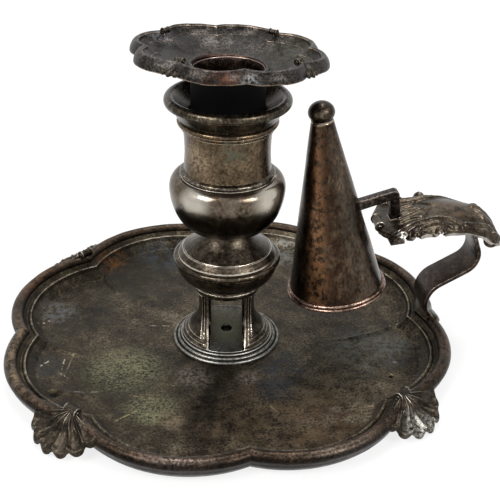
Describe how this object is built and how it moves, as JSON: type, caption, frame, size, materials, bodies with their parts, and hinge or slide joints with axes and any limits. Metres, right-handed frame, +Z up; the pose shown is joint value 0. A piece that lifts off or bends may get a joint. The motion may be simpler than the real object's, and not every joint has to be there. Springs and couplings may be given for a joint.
{
  "type": "chamberstick",
  "caption": "Short candle holder on a lobed drip tray, with a lift-out nozzle, a conical snuffer on a side arm and a leaf-shaped thumb grip.",
  "frame": {"origin": "centre of the flat underside, on the column's axis", "axes": "+Z up along the column and the candle; +X from the column towards the thumb grip"},
  "size_m": [0.1581, 0.1392, 0.1004],
  "materials": {
    "tray_plate": "tarnished silver plate on copper, rough, with brown and green patina",
    "rim_plate": "tarnished silver plate, worn bright along the ridge",
    "shell_plate": "cast and silver plated, dark in the hollows, worn bright on the ribs",
    "column_plate": "tarnished silver plate, half polished",
    "nozzle_plate": "tarnished silver plate with speckled patina",
    "worn_copper": "copper showing through the worn plate",
    "cone_plate": "tarnished silver plate, brown, worn bright at the mouth",
    "arm_plate": "dark tarnish with worn edges"
  },
  "bodies": {
    "stand": {"tray_pan": "tray_plate", "tray_rim": "rim_plate", "shell_front_left": "shell_plate", "shell_front_right": "shell_plate", "shell_back_left": "shell_plate", "shell_back_right": "shell_plate", "column_foot": "column_plate", "pierced_pillar": "column_plate", "pillar_collar": "column_plate", "knop_underside": "column_plate", "knop_bead": "column_plate", "knop_cone": "column_plate", "cup_bowl": "column_plate", "cup_bead": "column_plate", "cup_barrel": "column_plate", "cup_moulding": "column_plate", "cup_lip": "column_plate", "thumb_piece": "shell_plate", "arm_socket": "arm_plate", "handle_strap": "arm_plate", "handle_lug": "shell_plate"},
    "nozzle": {"nozzle_tube": "worn_copper", "nozzle_pan": "nozzle_plate", "nozzle_hole_bead": "worn_copper", "nozzle_shell_front_left": "shell_plate", "nozzle_shell_front_right": "shell_plate", "nozzle_shell_back_left": "shell_plate", "nozzle_shell_back_right": "shell_plate"},
    "extinguisher": {"extinguisher_cone": "cone_plate", "extinguisher_mouth_beads": "cone_plate", "extinguisher_ball": "cone_plate", "extinguisher_arm": "arm_plate"}
  },
  "joints": [
    {"name": "nozzle_lift", "type": "slide", "parent": "stand", "child": "nozzle", "axis": [0, 0, 1], "range_m": [0, 0.0215]},
    {"name": "extinguisher_lift", "type": "slide", "parent": "stand", "child": "extinguisher", "axis": [-0.1323, 0, 0.9912], "range_m": [0, 0.009]}
  ]
}
